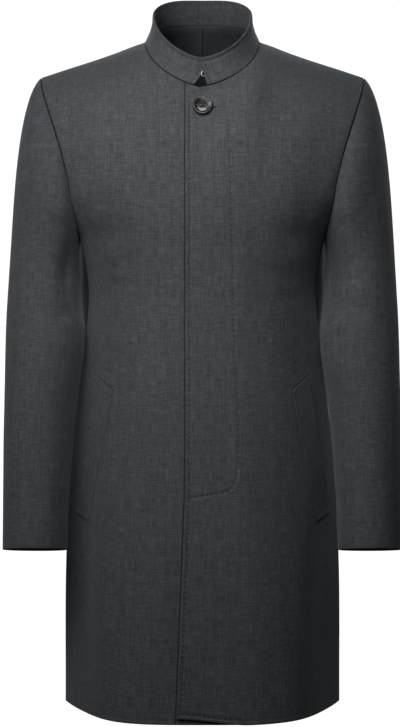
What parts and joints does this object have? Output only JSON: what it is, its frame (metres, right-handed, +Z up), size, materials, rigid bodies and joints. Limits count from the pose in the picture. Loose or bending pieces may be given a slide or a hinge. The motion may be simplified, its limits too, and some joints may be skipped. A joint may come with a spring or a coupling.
{
  "type": "stand-collar overcoat",
  "caption": "Worn, hollow wool overcoat with a stand collar, a covered front fastening, slanted side pockets and long two-piece sleeves.",
  "frame": {"origin": "middle of the neck at the height of the shoulder seams' inner ends, where the wearer's shoulders carry the coat", "axes": "+Z up, the coat's front faces -Y, the wearer's left side is at +X"},
  "size_m": [0.545, 0.3209, 0.9945],
  "materials": {
    "coat_cloth": "brushed wool, charcoal grey",
    "lining": "smooth satin lining, near black",
    "button_black": "polished black",
    "hook_steel": "bright wire"
  },
  "bodies": {
    "root": {"front_left": "coat_cloth", "front_right": "coat_cloth", "back_left": "coat_cloth", "back_right": "coat_cloth", "sleeve_left_top": "coat_cloth", "sleeve_left_under": "coat_cloth", "sleeve_right_top": "coat_cloth", "sleeve_right_under": "coat_cloth", "collar": "coat_cloth", "pocket_welt_left": "coat_cloth", "pocket_welt_right": "coat_cloth", "back_neck_lining": "lining", "button": "button_black", "collar_hook": "hook_steel"}
  },
  "joints": []
}
